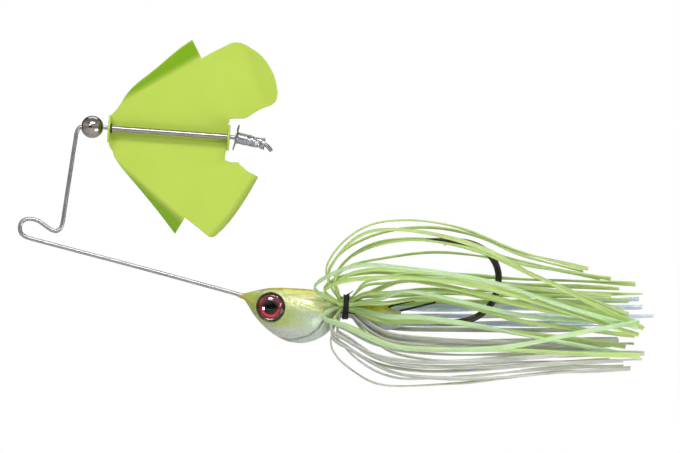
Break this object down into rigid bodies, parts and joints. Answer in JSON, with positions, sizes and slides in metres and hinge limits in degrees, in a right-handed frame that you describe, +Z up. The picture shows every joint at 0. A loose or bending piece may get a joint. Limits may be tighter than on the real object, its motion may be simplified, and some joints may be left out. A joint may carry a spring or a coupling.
{
  "type": "wire-arm topwater fishing lure",
  "caption": "Topwater fishing lure: bent wire arm with a spinning two-winged blade over a weighted head, tied silicone skirt and single upright hook.",
  "frame": {"origin": "centreline of the wire at the front of its open bend, where the line is tied", "axes": "+X towards the skirt's tail, +Z up to the blade side, +Y to the fish's right"},
  "size_m": [0.1338, 0.0279, 0.073],
  "materials": {
    "spring_steel": "bright drawn wire, slightly dulled",
    "bead_chrome": "polished",
    "blade_paint": "smooth satin lime paint",
    "sleeve_steel": "ground tube",
    "washer_dark": "dark oxide",
    "rivet_aluminium": "bright, crimped",
    "head_paint": "glossy pearl paint over lead",
    "black_nickel": "black nickel plating",
    "keeper_black": "blackened fine wire",
    "eye_foil": "printed foil disc",
    "eye_clear": "clear domed resin",
    "thread": "waxed thread",
    "skirt_lime": "satin silicone strip",
    "skirt_mint": "satin silicone strip, paler",
    "skirt_pearl": "pearl-grey silicone strip",
    "skirt_flake": "clear-blue silicone strip full of silver flake"
  },
  "bodies": {
    "frame": {"wire_form": "spring_steel", "rivet": "rivet_aluminium", "head_casting": "head_paint", "hook": "black_nickel", "keeper_wire_front": "keeper_black", "keeper_wire_rear": "keeper_black", "eye_disc_right": "eye_foil", "eye_dome_right": "eye_clear", "eye_disc_left": "eye_foil", "eye_dome_left": "eye_clear", "tie_thread": "thread", "skirt_strand_01": "skirt_pearl", "skirt_strand_02": "skirt_pearl", "skirt_strand_03": "skirt_pearl", "skirt_strand_04": "skirt_pearl", "skirt_strand_05": "skirt_flake", "skirt_strand_06": "skirt_flake", "skirt_strand_07": "skirt_flake", "skirt_strand_08": "skirt_lime", "skirt_strand_09": "skirt_lime", "skirt_strand_10": "skirt_lime", "skirt_strand_11": "skirt_lime", "skirt_strand_12": "skirt_lime", "skirt_strand_13": "skirt_lime", "skirt_strand_14": "skirt_lime", "skirt_strand_15": "skirt_lime", "skirt_strand_16": "skirt_mint", "skirt_strand_17": "skirt_lime", "skirt_strand_18": "skirt_mint", "skirt_strand_19": "skirt_lime", "skirt_strand_20": "skirt_pearl", "skirt_strand_21": "skirt_pearl", "skirt_strand_22": "skirt_pearl", "skirt_strand_23": "skirt_pearl", "skirt_strand_24": "skirt_pearl"},
    "bead": {"bead": "bead_chrome"},
    "sleeve": {"blade_sleeve": "sleeve_steel", "thrust_washer": "washer_dark"},
    "blade": {"blade": "blade_paint"}
  },
  "joints": [
    {"name": "bead_spin", "type": "hinge", "parent": "frame", "child": "bead", "pos_m": [0.01521, 0, 0.02121], "axis": [0.9973, 0, -0.0732], "continuous": true},
    {"name": "sleeve_slide", "type": "slide", "parent": "frame", "child": "sleeve", "axis": [0.9973, 0, -0.0732], "range_m": [-0.0009, 0.0004]},
    {"name": "blade_spin", "type": "hinge", "parent": "sleeve", "child": "blade", "pos_m": [0.0194, 0, 0.0209], "axis": [0.9973, 0, -0.0732], "continuous": true}
  ]
}
